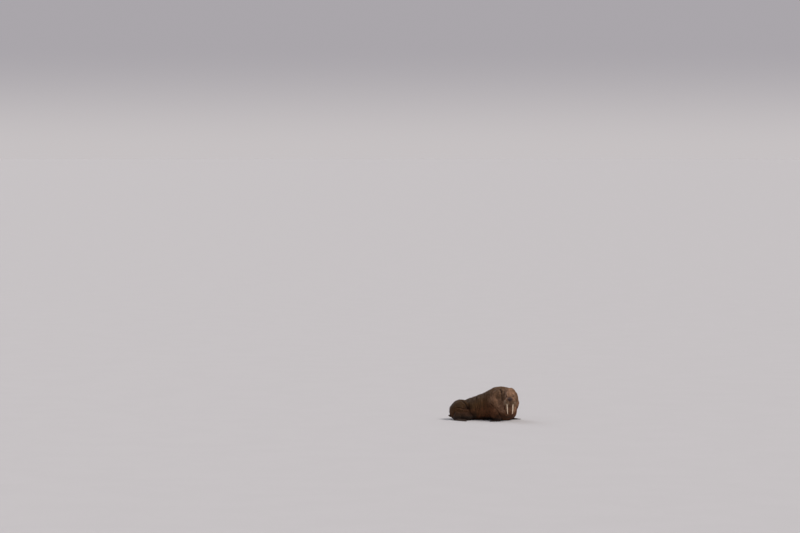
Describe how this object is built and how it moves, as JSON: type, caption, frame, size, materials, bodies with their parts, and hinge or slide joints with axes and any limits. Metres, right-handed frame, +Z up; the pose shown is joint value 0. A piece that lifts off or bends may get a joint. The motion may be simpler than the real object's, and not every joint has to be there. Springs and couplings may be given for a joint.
{
  "type": "walrus",
  "caption": "Life-size still model of a walrus lying on its belly with its forebody raised and its tusked head turned to its right.",
  "frame": {"origin": "on the floor, under the middle of the animal's bounding box", "axes": "+X from the rump towards the chest, +Y towards the animal's left side, +Z up"},
  "size_m": [2.4836, 1.6198, 1.14],
  "materials": {
    "hide": "matt, folded hide with very short hair",
    "face_hide": "matt, paler short-haired hide",
    "bare_skin": "bare, rough, slightly moist skin",
    "ivory": "worn ivory, satin",
    "eye": "wet gloss"
  },
  "bodies": {
    "root": {"head": "face_hide", "muzzle": "face_hide", "jaw": "face_hide", "eye_left": "eye", "eye_right": "eye", "tusk_left": "ivory", "tusk_right": "ivory", "neck": "hide", "chest": "hide", "torso": "hide", "rump": "hide", "tail": "hide", "foreflipper_left": "bare_skin", "foreflipper_right": "bare_skin", "hindflipper_left": "bare_skin", "hindflipper_right": "bare_skin"}
  },
  "joints": []
}
